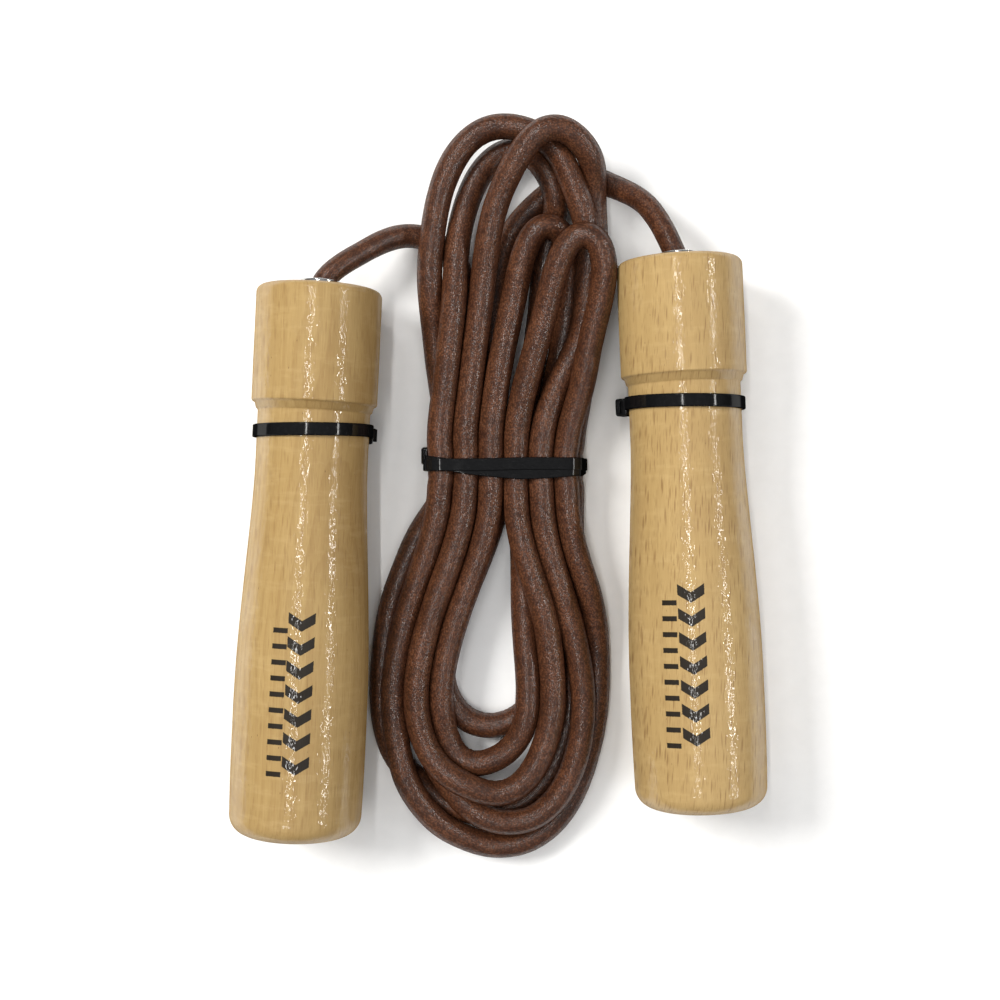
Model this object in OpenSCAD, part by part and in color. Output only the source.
// Leather skipping rope with turned wooden handles, coiled and bound for storage.
// The coil lies flat: X across, Y from the handle butts up to their mouths, Z up from the
// surface it rests on. The origin is under the middle of the whole object.

/* [Handle] */
// Overall length of a wooden handle
handle_l = 146.5; // [130:0.5:160]
// Diameter of the plain head at the rope end
head_d = 33.6; // [31:0.1:34]
// Length of the plain head
head_l = 31; // [26:0.5:36]
// Diameter of the neck below the head
neck_d = 30; // [28:0.5:31]
// Largest diameter of the swelled grip
belly_d = 35.8; // [33:0.1:37]
// Radius that rounds the butt end
butt_round = 5; // [3:0.5:7]

/* [Rope] */
// Diameter of the leather cord in the coil
rope_d = 6.8; // [6:0.1:7]
// Diameter of the stretched cord at the two leads
lead_d = 6.0; // [5.4:0.1:6.4]
// Place of the coil's waist, where the tie goes round it, along Y
waist_y = 9.1; // [6:0.1:12]
// Side-by-side pitch of the strands in the waist
waist_pitch = 6.85; // [6.8:0.05:7]

/* [Swivel] */
// Bearing bore
bearing_bore = 10; // [10:0.5:11]
// Bearing outside diameter
bearing_od = 19; // [19:0.5:20]
// Bearing width
bearing_w = 5; // [5:0.5:6]
// Number of balls in each bearing
ball_count = 10; // [8:1:11]
// Length of the swivel bush that stands out of the handle's mouth
bush_proud = 2.2; // [1.8:0.1:2.6]
// Depth of the blind cavity behind the bearing
cavity_l = 26; // [20:1:34]

/* [Ties] */
// Width of the cable tie straps
tie_w = 3.4; // [2.5:0.1:4.8]
// Thickness of the cable tie straps
tie_t = 1.1; // [0.9:0.1:1.3]
// Distance of the handle ties from the handle's mouth
tie_at = 38.4; // [36:0.1:41]

/* [Lay] */
// Turn of the left handle out of the Y direction, in degrees
left_splay = 2.65; // [1.5:0.05:4]
// Turn of the right handle out of the Y direction, in degrees
right_splay = 2.4; // [1.5:0.05:4]
// Left handle mouth centre, X
left_x = -48.55; // [-52:0.05:-48.5]
// Left handle mouth centre, Y
left_y = 56.9; // [54:0.1:58]
// Right handle mouth centre, X
right_x = 48.2; // [48:0.1:52]
// Right handle mouth centre, Y
right_y = 64.4; // [62:0.1:66]

/* [Hidden] */
$fn = 64;

rope_r = rope_d / 2;
lead_r = lead_d / 2;
head_r = head_d / 2;
neck_r = neck_d / 2;
belly_r = belly_d / 2;

wood = [0.80, 0.66, 0.43];
leather = [0.31, 0.19, 0.14];
nylon = [0.06, 0.06, 0.06];
steel = [0.72, 0.72, 0.74];

// --------------------------------------------------------------------- lay
// The shift that centres the whole lay on the origin
lay_shift = [0.482, -2.777, 0];
LEFT = -1;
RIGHT = 1;

function pick(side, left, right) = side < 0 ? left : right;
function mouth(side) = [pick(side, left_x, right_x), pick(side, left_y, right_y), belly_r];
function splay(side) = pick(side, left_splay, right_splay);
function ahead(side) = [-side * sin(splay(side)), cos(splay(side)), 0];

module lay() { translate(lay_shift) children(); }

// A handle's own frame has its origin at the middle of the mouth and +Z out of the mouth.
module on_handle(side) {
    lay() translate(mouth(side)) rotate([0, 0, side * splay(side)]) rotate([-90, 0, 0]) children();
}

// --------------------------------------------------------------- rope curves
// A station on the rope is [x, y, z, heading, climb], with the heading in degrees in the XY
// plane and an optional climb in degrees. Between two stations the rope is one cubic curve,
// whose handles are as long as those of a circular arc that turns by the same angle.
max_turn = 110;

function turn(a, b) =
    let (diff = abs(a[3] - b[3]) % 360) min(diff > 180 ? 360 - diff : diff, max_turn);
function arc_share(angle) = angle < 2 ? 1 / 3 : 4 / 3 * tan(angle / 4) / sin(angle);
function place(station) = [station[0], station[1], station[2]];
function climb(station) = is_undef(station[4]) ? 0 : station[4];
function direction(station) = let (heading = station[3], rise = climb(station))
    [cos(heading) * cos(rise), sin(heading) * cos(rise), sin(rise)];

// Length of the curve handle at station `at`, on the span from `a` to `b`
function reach(a, b, at) = let (chord = norm(place(b) - place(a)))
    min(0.5 * chord,
        max(0.3 * chord, arc_share(turn(a, b)) * abs((place(b) - place(a)) * direction(at))));
function bezier(a, b, c, d, t) =
    a * pow(1 - t, 3) + b * 3 * t * pow(1 - t, 2) + c * 3 * t * t * (1 - t) + d * pow(t, 3);
function span_at(a, b, t) = bezier(
    place(a), place(a) + direction(a) * reach(a, b, a),
    place(b) - direction(b) * reach(a, b, b), place(b), t);

// Points along a list of stations, about `step` apart. A curve is taken as 1.08 of its chord.
function span_steps(a, b, step) = max(2, round(1.08 * norm(place(b) - place(a)) / step));
function trail(stations, step) = concat(
    [for (i = [0 : len(stations) - 2])
        let (a = stations[i], b = stations[i + 1], n = span_steps(a, b, step))
        for (k = [0 : n - 1]) span_at(a, b, k / n)],
    [place(stations[len(stations) - 1])]);

// The same station moved along its own direction, or facing the other way
function shifted(station, by) = let (moved = place(station) + by * direction(station))
    [moved[0], moved[1], moved[2], station[3], station[4]];
function reversed(station) =
    [station[0], station[1], station[2], station[3] + 180, -climb(station)];

function unit(v) = v / norm(v);
function tangent(points, i) =
    unit(points[min(i + 1, len(points) - 1)] - points[max(i - 1, 0)]);
function square_to(v, along) = unit(v - along * (v * along));
function frames(points, i, last) = i >= len(points) ? [] :
    let (next = square_to(last, tangent(points, i)))
    concat([next], frames(points, i + 1, next));

// Tube round a trail of points. The section is carried along without twist.
first_frame = [0.03, 0.02, 1];
module tube(points, r, sides) {
    normals = frames(points, 0, first_frame);
    n = len(points);
    rings = [for (i = [0 : n - 1])
        let (normal = normals[i], across = cross(tangent(points, i), normal))
        for (k = [0 : sides - 1]) let (angle = 360 * (k + 0.5) / sides)
            points[i] + r * cos(angle) * normal + r * sin(angle) * across];
    wall = [for (i = [0 : n - 2]) for (k = [0 : sides - 1])
        let (near = i * sides, far = near + sides, k2 = (k + 1) % sides)
        each [[near + k, far + k, far + k2], [near + k, far + k2, near + k2]]];
    caps = [[for (k = [0 : sides - 1]) k], [for (k = [sides - 1 : -1 : 0]) (n - 1) * sides + k]];
    polyhedron(points = rings, faces = concat(wall, caps), convexity = 10);
}

// ------------------------------------------------------------- coil stations
// Twelve strands pass through the waist in two layers of six. Slots count from the left.
top_first_x = -16.2;
layer_shift = 1.6; // the low layer lies this far to the right of the top one
low_first_x = top_first_x + layer_shift;
z_low = tie_t + rope_r + 0.12;
z_top = z_low + sqrt(pow(waist_pitch, 2) - layer_shift * layer_shift) + 0.05;
pass_reach = 4.4; // a strand runs straight this far to each side of the waist

function top_slot(i) = [top_first_x + (i - 1) * waist_pitch, z_top];
function low_slot(i) = [low_first_x + (i - 1) * waist_pitch, z_low];
function pass(slot, heading) = [for (k = [-1, 1])
    [slot[0], waist_y + k * sign(heading) * pass_reach, slot[1], heading]];
function top_pass(i, heading) = pass(top_slot(i), heading);
function low_pass(i, heading) = pass(low_slot(i), heading);

// Headings along Y, and the height of a strand that rests on the surface
UP = 90;
DOWN = -90;
rest_z = rope_r + 0.05;

left_entry = [-23.2, 73.2, 6.6, -6, -12];
right_exit = [28.6, 88.7, 5.4, -28, 16];

// Stations from end to end. Loops lie below the waist in Y, top bends above it.
coil_path = [
    left_entry,
    // left lead turns down under the strands
    [-12.6, 66.5, 3.6, -52], [-9.8, 45, 4.2, DOWN],
    each low_pass(2, DOWN),
    // loop 1
    [-22.9, -52.3, rest_z, DOWN], [3.3, -88.7, 10.2, 0], [22.9, -56.5, 10, UP],
    each top_pass(5, UP),
    // top bend 1, which reaches furthest up in Y
    [23.3, 52, 10.5, 90], [23.6, 68, 12.5, 92], [21.6, 82, 16, 108], [16.2, 93, 15, 130],
    [8.5, 99.8, 14, 157], [0, 102, 14, 180], [-9.3, 97, 14, 225], [-16.7, 82, 13.5, 255],
    [-18.8, 62, 12, 269], [-17.6, 40, 5.6, -84],
    each low_pass(1, DOWN),
    // loop 2, which swells the furthest to the left
    [-22.9, -9.8, rest_z, -111], [-30, -28, rest_z, -106], [-32.5, -57, rest_z, DOWN],
    [-2.8, -87.3, rest_z, 0], [20.4, -49.6, rest_z, UP],
    each low_pass(6, UP),
    // top bend 2, which crosses over bends 1 and 4
    [22.2, 28, rest_z, 84], [26.6, 60, 4, 90], [25.4, 84, 10.5, 97], [22.6, 94, 18.5, 112],
    [14.7, 99.7, 21.5, 180], [5.1, 92, 21, 238], [-0.8, 80.4, 17, 251], [-4.8, 58, 12.5, 264],
    each top_pass(2, DOWN),
    // loop 3, on top
    [-22.9, -52.3, 11.8, DOWN], [-1.7, -80.4, 13, 0], [14.1, -53.7, 12, UP],
    each top_pass(4, UP),
    // top bend 3, the small one at the right
    [12.9, 53.5, 16.5, 77], [16.9, 66, 20, 67], [22.4, 72.2, 21.2, 4], [27.7, 65.4, 21, -84],
    [25.1, 45.5, 17.5, -104], [20.8, 27, 13.2, -100],
    each top_pass(6, DOWN),
    // loop 4, the longest
    [27.0, -52.3, rest_z, DOWN], [20.2, -82.5, 3.8, -114], [-0.6, -96.3, 5.5, 180],
    [-21.9, -82.2, 7.8, 133], [-29.3, -60, 9, 91], [-26.2, -33.5, 9.2, 75],
    each top_pass(1, UP),
    // top bend 4
    [-12.9, 54.8, 13, 88], [-11.3, 73, 11, 77], [-4.7, 91, 9, 55], [4.2, 97, 7.8, 6],
    [12.2, 92.4, 11, -50], [15.6, 82.5, 10.6, -82], [13.2, 71, 4.2, -98], [10.6, 48, 3.8, -96],
    each low_pass(4, DOWN),
    // loop 5, the narrow inner one
    [8.3, -48.2, 10.3, DOWN], [0, -70.6, 9.4, -153], [-8.8, -73.2, 8.8, 168],
    [-16.3, -54.3, 9, UP],
    each top_pass(3, UP),
    // top bend 5, short
    [3.6, 54, 12.5, 78], [7.1, 68, 13.4, 67], [12.7, 75.8, 14.2, 12], [17.8, 73, 12, -60],
    [19.8, 65, 7.5, -85], [18.4, 50, 4, -95],
    each low_pass(5, DOWN),
    // loop 6, short, underneath
    [14.1, -41.3, rest_z, DOWN], [-2, -63.2, rest_z, 184], [-16.5, -48.2, rest_z, UP],
    each low_pass(3, UP),
    // right lead arches across and leaves to the right
    [-2, 50, 3.5, 86], [0.5, 68, 3.5, 76], [8, 80.2, 3.5, 42], [18.8, 88.6, 3.6, 22],
    right_exit
];

// ------------------------------------------------------------------ settling
// Strands closer than strand_gap press one another aside, round after round. Points inside
// the tie and at the two ends stay where they are.
strand_gap = rope_d + 0.2;
rival_reach = strand_gap + 6; // points that start further apart never press
same_strand = 5;              // nor do points this few steps apart along the rope
along_limit = 2.2;            // nor points further than this ahead or behind
press = 0.3;                  // share of an overlap that is undone in a round
straighten = 0.5;             // share of the smoothing applied in a round
held_reach = 4.6;             // half length of the fixed stretch at the waist
settle_rounds = 70;

function held(p, i) = i < 2 || i > len(p) - 3 || abs(p[i][1] - waist_y) < held_reach;
function rivals(p) = [for (i = [0 : len(p) - 1]) [for (j = [0 : len(p) - 1])
    if (abs(i - j) > same_strand && norm(p[i] - p[j]) < rival_reach) j]];
function total(v, i = 0) = i == len(v) ? [0, 0, 0] : v[i] + total(v, i + 1);
function shove(p, tangents, i, j) =
    let (apart = p[i] - p[j], along = apart * tangents[j])
    abs(along) > along_limit ? [0, 0, 0] :
    let (aside = apart - along * tangents[j], dist = max(norm(aside), 0.01))
    dist < strand_gap ? aside / dist * (strand_gap - dist) * press : [0, 0, 0];
function smoothing(p, i) = -(p[i - 2] - 4 * p[i - 1] + 6 * p[i] - 4 * p[i + 1] + p[i + 2]) / 16;
function above_surface(q) = [q[0], q[1], max(q[2], rest_z)];
function settle(p, near, rounds) = rounds == 0 ? p :
    let (tangents = [for (i = [0 : len(p) - 1]) tangent(p, i)])
    settle([for (i = [0 : len(p) - 1]) held(p, i) ? p[i] :
        above_surface(p[i] + total([for (j = near[i]) shove(p, tangents, i, j)])
            + straighten * smoothing(p, i))], near, rounds - 1);
function settled(p) = settle(p, rivals(p), settle_rounds);
function every_other(p) = concat([for (i = [0 : 2 : len(p) - 2]) p[i]], [p[len(p) - 1]]);

module rope_coil() {
    color(leather) lay() tube(every_other(settled(trail(coil_path, 2.9))), rope_r, 10);
}

// --------------------------------------------------------------------- leads
// Each lead bends at a point half way (bend) and where it joins the coil (joint).
hinge_gap = 0.15;
joint_offset = lead_r + hinge_gap;
left_bend = [-37.2, 67.65, 14.0, 34, -20];
right_bend = [41.0, 79.4, 13.2, 124, -22];
left_joint = shifted(left_entry, -joint_offset);
right_joint = reversed(shifted(right_exit, joint_offset));

function bend(side) = pick(side, left_bend, right_bend);
function joint(side) = pick(side, left_joint, right_joint);

// Station `out` beyond the mouth, `inward` towards the coil, turned by `angle` to the coil
// (left) or away from it (right)
function mouth_station(side, out, inward = 0, angle = 0) =
    let (at = mouth(side) + out * ahead(side))
    [at[0] - side * inward, at[1], at[2], 90 + side * splay(side) + side * angle, 0];
function end_stations(side) = [
    mouth_station(side, -13), mouth_station(side, -5.6),
    mouth_station(side, 2.2, 1.05, pick(side, 33, 20)), bend(side)];

module joint_ball(station) { translate(place(station)) sphere(lead_r - 0.02, $fn = 24); }

module rope_lead(side) {
    color(leather) lay() {
        tube(trail([shifted(bend(side), joint_offset), joint(side)], 3.2), lead_r, 12);
        joint_ball(joint(side));
    }
}

// From inside the handle to the bend, with a cross hole for the stop pin
module rope_end(side) {
    color(leather) difference() {
        union() {
            lay() tube(trail(end_stations(side), 2.6), lead_r, 12);
            lay() joint_ball(bend(side));
        }
        on_handle(side) translate([0, 0, pin_z]) rotate([0, 90, 0])
            cylinder(r = pin_r + 0.01, h = 12, center = true, $fn = 32);
    }
}

// ------------------------------------------------------------------ handle
pocket_r = bearing_od / 2 + 0.01;
pocket_l = bearing_w + 0.2;
pocket_lip = 0.4;
cavity_r = 8;
cavity_chamfer = 1.5;
cavity_end = pocket_l + cavity_l;
head_round = 2;
// The grip swells from the neck to the belly between these distances from the mouth.
swell_from = 48;
swell_to = 114;
grip_end = 126;

function grip_r(d) = d < swell_from ? neck_r : d > swell_to ? belly_r :
    neck_r + (belly_r - neck_r) * pow(sin(90 * (d - swell_from) / (swell_to - swell_from)), 1.5);

// Half section [radius, z], from the cavity's blind end out over the mouth to the butt
handle_profile = concat(
    [[0, -cavity_end], [cavity_r - cavity_chamfer, -cavity_end],
     [cavity_r, -cavity_end + cavity_chamfer], [cavity_r, -pocket_l], [pocket_r, -pocket_l],
     [pocket_r, -pocket_lip], [pocket_r + pocket_lip, 0]],
    [for (a = [90 : -15 : 0]) [head_r - head_round + head_round * cos(a),
                               -head_round + head_round * sin(a)]],
    [[head_r, -head_l + 0.4], [head_r - 0.3, -head_l], [neck_r + 0.5, -head_l - 1.8],
     [neck_r, -head_l - 2.4]],
    [for (d = [swell_from : 6 : grip_end]) [grip_r(d), -d]],
    [[belly_r - 0.15, -(handle_l - butt_round - 3)]],
    [for (a = [0 : 15 : 90]) [belly_r - 0.25 - butt_round + butt_round * cos(a),
                              -(handle_l - butt_round) - butt_round * sin(a)]],
    [[0, -handle_l]]);

module handle(side) {
    color(wood) on_handle(side) rotate_extrude($fn = 96) polygon(handle_profile);
}

// Nylon tie round the neck. Its head is turned to the coil, and the strap end runs into it.
tie_r = neck_r + 0.03;

// Box on the neck at the tie's head: X outwards from the neck's surface, Y round it
module neck_box(side, corner, size) {
    rotate([0, 0, pick(side, 44, 155)]) translate([neck_r, 0, 0] + corner) cube(size);
}

module handle_tie(side) {
    color(nylon) on_handle(side) translate([0, 0, -tie_at]) difference() {
        union() {
            rotate_extrude($fn = 96) translate([tie_r, -tie_w / 2]) square([tie_t, tie_w]);
            // head, then strap end
            neck_box(side, [0.6, -2.4, -2.4], [3.4, 5.2, 4.8]);
            neck_box(side, [1.5, -5, -tie_w / 2], [tie_t, 5, tie_w]);
        }
        cylinder(r = tie_r, h = 12, center = true, $fn = 96);
        // slot through the head
        neck_box(side, [2.7, -3, -1.6], [0.7, 7, 3.2]);
    }
}

// ------------------------------------------------------------------ swivel
bush_r = bearing_bore / 2 - 0.01;
bush_bore_r = 4.2;
flange_r = bush_r + 1.2; // in front of the bearing
collar_r = bush_r + 0.9; // behind the bearing
nose_r = bush_r + 0.5;

race_t = 1.5;
inner_land_r = bearing_bore / 2 + race_t;
outer_land_r = bearing_od / 2 - race_t;
race_half_w = bearing_w / 2;
race_edge = 0.2; // chamfer on the races
ball_r = 1.19;
pitch_r = (inner_land_r + outer_land_r) / 2;
bearing_z = -(race_half_w + 0.1);

shield_t = 0.26;
shield_z = 2.07;
seat_z = shield_z - 0.05;
seat_r = outer_land_r + 0.5;
cage_t = 1;
cage_w = 3.3;

washer_r = 7;
washer_bore_r = 3.25;
washer_t = 1.2;
washer_edge = 0.2;
washer_z = -(bearing_w + 1.15); // face nearer the mouth
washer_back_z = washer_z - washer_t;
pin_r = 1;
pin_z = washer_back_z - 1.05;

module on_bearing(side) { on_handle(side) translate([0, 0, bearing_z]) children(); }

module around_bearing() {
    for (i = [0 : ball_count - 1]) rotate([0, 0, i * 360 / ball_count]) children();
}

module swivel_bush(side) {
    color(steel) on_handle(side) rotate_extrude() polygon([
        [bush_bore_r, -bearing_w - 1.1], [collar_r - 0.2, -bearing_w - 1.1],
        [collar_r, -bearing_w - 0.9], [collar_r, -bearing_w - 0.12],
        [bush_r, -bearing_w - 0.12], [bush_r, -0.08],
        [flange_r, -0.08], [flange_r, 0.6], [flange_r - 0.3, 0.9],
        [nose_r, 0.9], [nose_r, bush_proud - 0.4], [nose_r - 0.1, bush_proud - 0.15],
        [nose_r - 0.35, bush_proud], [bush_bore_r + 0.75, bush_proud],
        [bush_bore_r + 0.6, bush_proud - 0.15], [bush_bore_r, bush_proud - 2.4]]);
}

module race_groove() { translate([pitch_r, 0]) circle(r = ball_r + 0.04, $fn = 48); }

module bearing_inner_race(side) {
    bore_r = bearing_bore / 2;
    color(steel) on_bearing(side) rotate_extrude() difference() {
        polygon([[bore_r, -race_half_w + race_edge], [bore_r + race_edge, -race_half_w],
                 [inner_land_r, -race_half_w], [inner_land_r, race_half_w],
                 [bore_r + race_edge, race_half_w], [bore_r, race_half_w - race_edge]]);
        race_groove();
    }
}

// The bore is stepped at both ends to seat the shields.
module bearing_outer_race(side) {
    rim_r = bearing_od / 2;
    color(steel) on_bearing(side) rotate_extrude() difference() {
        polygon([[outer_land_r, -seat_z], [seat_r, -seat_z], [seat_r, -race_half_w],
                 [rim_r - race_edge, -race_half_w], [rim_r, -race_half_w + race_edge],
                 [rim_r, race_half_w - race_edge], [rim_r - race_edge, race_half_w],
                 [seat_r, race_half_w], [seat_r, seat_z], [outer_land_r, seat_z]]);
        race_groove();
    }
}

module bearing_shields(side) {
    color(steel) on_bearing(side) for (z = [-shield_z - shield_t, shield_z])
        translate([0, 0, z]) rotate_extrude() translate([inner_land_r + 0.1, 0])
            square([outer_land_r - inner_land_r + 0.38, shield_t]);
}

module bearing_cage(side) {
    color(steel) on_bearing(side) difference() {
        rotate_extrude() translate([pitch_r - cage_t / 2, -cage_w / 2]) square([cage_t, cage_w]);
        around_bearing() rotate([0, 90, 0]) translate([0, 0, pitch_r - 1.5])
            cylinder(r = ball_r + 0.05, h = 3, $fn = 32);
    }
}

module bearing_balls(side) {
    color(steel) on_bearing(side) around_bearing()
        translate([pitch_r, 0, 0]) sphere(ball_r, $fn = 24);
}

module stop_washer(side) {
    color(steel) on_handle(side) rotate_extrude() polygon([
        [washer_bore_r, washer_back_z], [washer_r - washer_edge, washer_back_z],
        [washer_r, washer_back_z + washer_edge], [washer_r, washer_z - washer_edge],
        [washer_r - washer_edge, washer_z], [washer_bore_r, washer_z]]);
}

module stop_pin(side) {
    color(steel) on_handle(side) translate([0, 0, pin_z]) rotate([0, 90, 0])
        cylinder(r = pin_r, h = 13, center = true, $fn = 32);
}

// ---------------------------------------------------------------- coil tie
module waist_outline(grow) {
    offset(r = grow) hull() {
        for (slot = [top_slot(1), top_slot(6), low_slot(1), low_slot(6)])
            translate(slot) circle(r = rope_r + 0.1, $fn = 48);
    }
}

// One turn of the strap, from y_start upwards in Y
module waist_band(y_start) {
    translate([0, y_start + tie_w, 0]) rotate([90, 0, 0]) linear_extrude(tie_w)
        difference() { waist_outline(tie_t); waist_outline(0); }
}

// Box placed from the right face of the tie's head, at the waist
module tie_box(corner, size) {
    translate([low_slot(1)[0] - rope_r - 0.5, waist_y, 0] + corner) cube(size);
}

// The strap goes round the waist twice: once straight, and once askew and partly within the
// first turn. Its head is low on the left, with the cut end of the strap in it.
module coil_tie() {
    skew = -0.06; // Y per X
    color(nylon) lay() {
        waist_band(waist_y - 1.05);
        multmatrix([[1, 0, 0, 0], [skew, 1, 0, 0], [0, 0, 1, 0], [0, 0, 0, 1]])
            waist_band(waist_y - 3.05);
        // head with its slot, then the cut end
        difference() {
            tie_box([-3.4, 0.7, 1.8], [3.4, 4.9, 4.6]);
            tie_box([-2.3, 1.5, 1], [0.9, 3.3, 8]);
        }
        tie_box([-2.4, 1.6, 0.9], [0.7, 3.1, 7]);
    }
}

rope_coil();
coil_tie();
rope_lead(LEFT);  // left_rope_lead
rope_end(LEFT);  // left_rope_end
handle(LEFT);  // left_handle
handle_tie(LEFT);  // left_handle_tie
swivel_bush(LEFT);  // left_swivel_bush
bearing_inner_race(LEFT);  // left_bearing_inner_race
bearing_outer_race(LEFT);  // left_bearing_outer_race
bearing_shields(LEFT);  // left_bearing_shields
bearing_cage(LEFT);  // left_bearing_cage
bearing_balls(LEFT);  // left_bearing_balls
stop_washer(LEFT);  // left_stop_washer
stop_pin(LEFT);  // left_stop_pin
rope_lead(RIGHT);  // right_rope_lead
rope_end(RIGHT);  // right_rope_end
handle(RIGHT);  // right_handle
handle_tie(RIGHT);  // right_handle_tie
swivel_bush(RIGHT);  // right_swivel_bush
bearing_inner_race(RIGHT);  // right_bearing_inner_race
bearing_outer_race(RIGHT);  // right_bearing_outer_race
bearing_shields(RIGHT);  // right_bearing_shields
bearing_cage(RIGHT);  // right_bearing_cage
bearing_balls(RIGHT);  // right_bearing_balls
stop_washer(RIGHT);  // right_stop_washer
stop_pin(RIGHT);  // right_stop_pin
